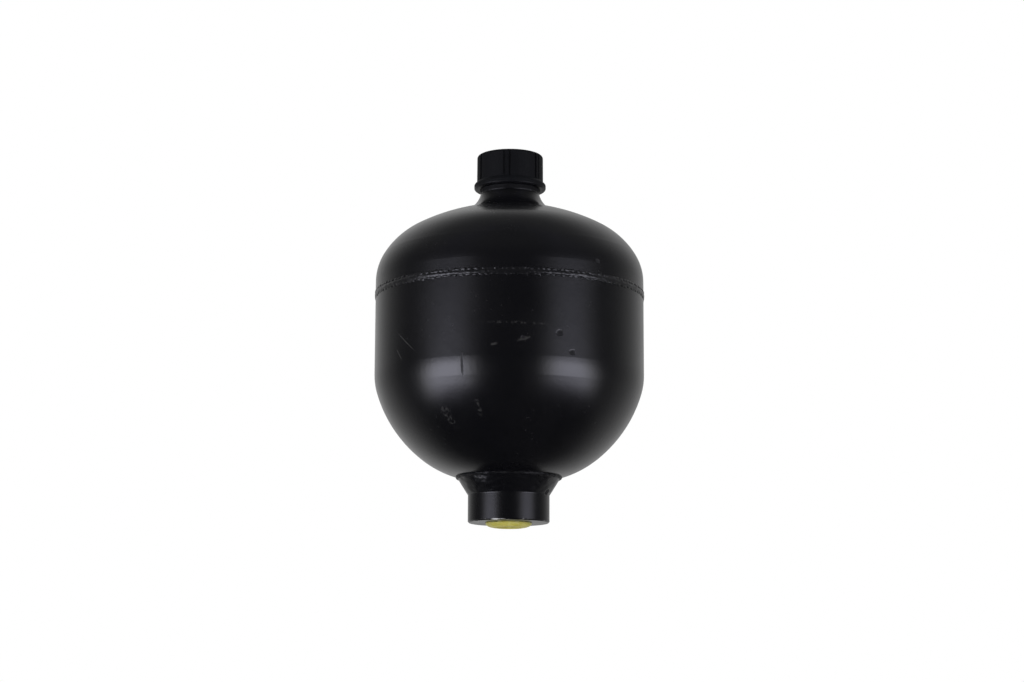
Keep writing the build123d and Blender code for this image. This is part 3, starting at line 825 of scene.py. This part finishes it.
def bowl_line(inset, lowest):
    """Places (radius, height) down the bowl's arcs, moved in from its outside by an inset."""
    spacing = 2.8
    radius = BOWL_ARCS[0][0]
    across = BODY_RADIUS - radius
    up = WELD - LOWER_CYLINDER_LENGTH
    tilt = 0.0
    places = []
    for next_radius, end in BOWL_ARCS:
        across += (radius - next_radius) * math.cos(math.radians(tilt))
        up -= (radius - next_radius) * math.sin(math.radians(tilt))
        radius = next_radius
        reach = radius - inset
        while tilt < end:
            angle = math.radians(tilt)
            place = (across + reach * math.cos(angle), up - reach * math.sin(angle))
            if place[1] < lowest:
                return places
            places.append(place)
            tilt += spacing
        tilt = end
    return places


def bladder_skin(finish):
    """The moulded rubber cup: bead, ribbed wall, thick pad with its recess for the button."""
    low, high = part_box("bladder")
    outer = high.x
    inner = outer - BLADDER_WALL
    bead_inner = outer - BEAD_WIDTH
    bead_foot = high.z - BEAD_HEIGHT
    bead_edge = 0.8 * MM
    pad_top = low.z + BLADDER_PAD_THICKNESS
    pad_edge = 26.5 * MM
    stud_hole = 4.1 * MM
    recess = 17.1 * MM
    recess_floor = low.z + 3.7 * MM
    rib = 0.35 * MM
    ribbed_levels = (2, 4, 6)
    levels = 12
    inset = BODY_RADIUS - outer
    tangent = WELD - LOWER_CYLINDER_LENGTH

    outside = bowl_line(inset, low.z + 0.4 * MM)
    inside = [place for place in bowl_line(inset + BLADDER_WALL, low.z) if place[0] > pad_edge]
    straight = bead_foot - tangent
    ups = [bead_foot - straight * level / levels for level in range(1, levels)]
    ribbed = [(inner - (rib if at in ribbed_levels else 0.0), up) for at, up in enumerate(ups)]

    # Out over the pad, up the ribbed wall, round the bead, down outside, in along the recess.
    line = [(12.0 * MM, pad_top + 0.3 * MM), (21.0 * MM, pad_top), (22.2 * MM, pad_top - 0.5 * MM)]
    line += inside[::-1] + ribbed[::-1]
    line += [(inner, bead_foot), (bead_inner, bead_foot + 0.4 * MM)]
    line += [(bead_inner, high.z - bead_edge), (bead_inner + bead_edge, high.z)]
    line += [(outer - bead_edge, high.z), (outer, high.z - bead_edge)]
    line += [(outer, up) for up in ups[1:]]
    line += outside
    line += [(outside[-1][0] - 1.6 * MM, low.z), (recess, low.z)]
    line += [(recess, recess_floor), (stud_hole, recess_floor)]
    ring = {"vertices": 96, "radius": stud_hole, "location": (0, 0, pad_top)}
    cup = begin(bpy.ops.mesh.primitive_circle_add, "bladder_skin", **ring)
    extrude_rings((stud_hole, pad_top), line)
    pick(cup, lambda place: place.to_2d().length < stud_hole + 0.2 * MM)
    bpy.ops.mesh.bridge_edge_loops()
    settle(cup, finish, smooth=40.0)
    cup.parent = None
    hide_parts("bladder")
    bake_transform(cup)


# ------------------------------------------------------------------ the stage


def studio():
    """A white room to look at; for its light and reflections a dim one with two soft boxes.

    Directions are in degrees: aside from the front to either side, and of rise over the level.
    """
    white = (1.0, 1.0, 1.0)
    cool_white = (0.96, 0.96, 1.12)
    world = bpy.data.worlds.new("studio")
    bpy.context.scene.world = world
    world.use_nodes = True
    world.node_tree.nodes.clear()
    finish = Finish(world.node_tree)
    x, y, z = finish.axes(finish.node("ShaderNodeTexCoord", output="Generated"))
    rise = z.math("ARCSINE", z) * math.degrees(1)
    aside = abs(x.math("ARCTAN2", x, -y)) * math.degrees(1)
    left = x.step(0.1, -0.1)

    # The dim room: darkest in front and below, lighter at the sides and above, lightest behind.
    sides = 0.014 + aside.step(14.0, 70.0) * 0.06
    above = rise.step(14.0, 45.0) * 0.09
    below = rise.step(-10.0, -45.0)
    back = (aside - left * 8.0).step(84.0, 154.0) * (0.46 + left * 0.1)
    back = back * rise.step(-58.0, -22.0) * rise.step(75.0, 35.0)
    room = (sides + above) * (1.0 - below * 0.75) + back

    # A soft box on either side in front, bright below the level of its waist and dimmer above it.
    box = aside.step(24.0, 46.0) * (aside + rise.least(0.0) * 0.4).step(82.0, 58.0)
    low_edge = (rise + left * 3.0 + 1.5).step(-33.0, -13.0)
    low_box = box * rise.step(5.5, 2.0) * low_edge * (4.0 + left * 0.9)
    high_edge = (rise + left * 1.0).step(13.0, 8.0)
    high_box = box * rise.step(2.0, 5.5) * high_edge * (0.76 - left * 0.28)
    glow = room + low_box + high_box

    seen = finish.node("ShaderNodeLightPath", output="Is Camera Ray")
    strength = seen + (1.0 - seen) * glow
    tint = finish.mix(box * (1.0 - seen), white, cool_white)
    light = finish.node("ShaderNodeBackground", None, {"Color": tint, "Strength": strength})
    output = world.node_tree.nodes.new("ShaderNodeOutputWorld")
    feed(world.node_tree, output.inputs["Surface"], light)


def lamp(name, place, target, size, power):
    """A soft square lamp that reflections don't show."""
    data = bpy.data.lights.new(name, "AREA")
    data.shape = "SQUARE"
    data.size = size
    data.energy = power
    made = bpy.data.objects.new(name, data)
    bpy.context.collection.objects.link(made)
    made.location = place
    made.rotation_euler = (Vector(target) - Vector(place)).to_track_quat("-Z", "Y").to_euler()
    made.visible_camera = False
    made.visible_glossy = False


def pale_floor():
    """A round pale floor that fades out at its rim, clear from below, in reflections and to lamps."""
    lowered = 0.3 * MM
    disc = {"vertices": 96, "radius": 1.5, "fill_type": "NGON", "location": (0, 0, -lowered)}
    floor = begin(bpy.ops.mesh.primitive_circle_add, "floor", **disc)
    bpy.ops.object.mode_set(mode="OBJECT")
    finish, shader, made = material("pale_floor")
    tree = made.node_tree
    place = Place(finish)
    tone = finish.noise(place.vector, 3.0, 2.0)
    colour = finish.mix(tone, (0.80, 0.80, 0.80), (0.84, 0.84, 0.84))
    dress(shader, Base_Color=colour, Roughness=0.9 + (tone - 0.5) * 0.1)
    rim = place.radius.step(0.75, 1.4)
    under = finish.node("ShaderNodeNewGeometry", output="Backfacing")
    reflected = finish.node("ShaderNodeLightPath", output="Is Glossy Ray")
    shadow = finish.node("ShaderNodeLightPath", output="Is Shadow Ray")
    clear = under.most(reflected).most(shadow).most(rim)
    surface = Value(tree, shader.outputs[0])
    glass = finish.node("ShaderNodeBsdfTransparent")
    mixed = finish.node("ShaderNodeMixShader", None, {0: clear, 1: surface, 2: glass})
    feed(tree, tree.nodes["Material Output"].inputs["Surface"], mixed)
    floor.data.materials.append(made)


def camera():
    """The camera, low in front, looking up a little and rolled by a hair."""
    target = Vector((0.0, 0.0, WELD - 25.73 * MM))
    distance = 1.3317
    rise = math.radians(-9.9)
    roll = math.radians(0.24)
    data = bpy.data.cameras.new("camera")
    data.lens = 75.2
    data.sensor_width = 36.0
    data.shift_x = 0.002539
    data.shift_y = -0.002637
    data.clip_start = 0.01
    made = bpy.data.objects.new("camera", data)
    bpy.context.collection.objects.link(made)
    made.location = target + Vector((0.0, -math.cos(rise), math.sin(rise))) * distance
    aim = (target - made.location).to_track_quat("-Z", "Y")
    made.rotation_euler = (aim @ Quaternion((0.0, 0.0, 1.0), roll)).to_euler()
    bpy.context.scene.camera = made


# --------------------------------------------------------------- putting it on

bpy.context.scene.view_settings.view_transform = "Standard"
camera()
studio()
lamp("under_fill", place=(0.0, -0.55, -0.75), target=(0.0, 0.0, 0.0), size=0.6, power=3.0)
lamp("front_fill", place=(-0.35, -1.5, 0.25), target=(0.0, 0.0, 0.1), size=0.9, power=3.2)
lamp("top_fill", place=(0.3, -0.5, 1.3), target=(0.0, 0.0, 0.1), size=0.8, power=16.0)
pale_floor()

weld_paint = black_paint("weld_paint", peel=1.4, dull=0.06, beaded=0.6 * MM)
port_weld_paint = black_paint("port_weld_paint", peel=2.2, dull=0.2, shine=0.25, beaded=1.6 * MM)
stem_finish = {"peel": 0.8, "dull": 0.06, "shine": 0.2, "turned": 0.6}
stem_paint = black_paint("stem_paint", wear=stem_wear, **stem_finish)
boss_finish = {"peel": 0.7, "dull": 0.03, "shine": 0.38, "turned": 1.0, "forged": 0.5 * MM}
screw_thread = {
    "pitch": 1.5 * MM,
    "low": STEM_TOP - 11.0 * MM,
    "high": STEM_TOP,
    "inner": 6.8 * MM,
    "outer": 7.1 * MM,
}
plug_yellow = plug_plastic("plug_plastic")
bladder_rubber = moulded_rubber("bladder_rubber", (0.012, 0.012, 0.013), talc=0.35)

paint("lower_shell", black_paint("shell_paint", wear=body_wear))
paint("upper_shell", black_paint("dome_paint", wear=dome_wear))
paint("girth_weld", weld_paint)
paint("stem_weld", black_paint("neck_paint", peel=1.2))
paint("port_weld", port_weld_paint)
paint("port_boss", black_paint("boss_paint", wear=boss_wear, **boss_finish))
paint("gas_stem", stem_paint)
paint("protective_cap", cap_plastic("cap_plastic"))
paint("port_plug", plug_yellow)
paint("retaining_ring", machined_steel("ring_steel", (0.52, 0.50, 0.47), oil=1.0))
paint("shutoff_button", machined_steel("button_steel", (0.56, 0.55, 0.53)))
paint("charging_screw", machined_steel("screw_steel", (0.66, 0.66, 0.64), thread=screw_thread))
paint("screw_seal", seal_copper("seal_copper"))
paint("bladder", bladder_rubber)
paint("cap_gasket", moulded_rubber("gasket_rubber", (0.009, 0.009, 0.010)))

girth_weld_bead(weld_paint)
port_weld_bead(port_weld_paint)
bladder_skin(bladder_rubber)
threaded_stem(stem_paint)
moulded_plug(plug_yellow)
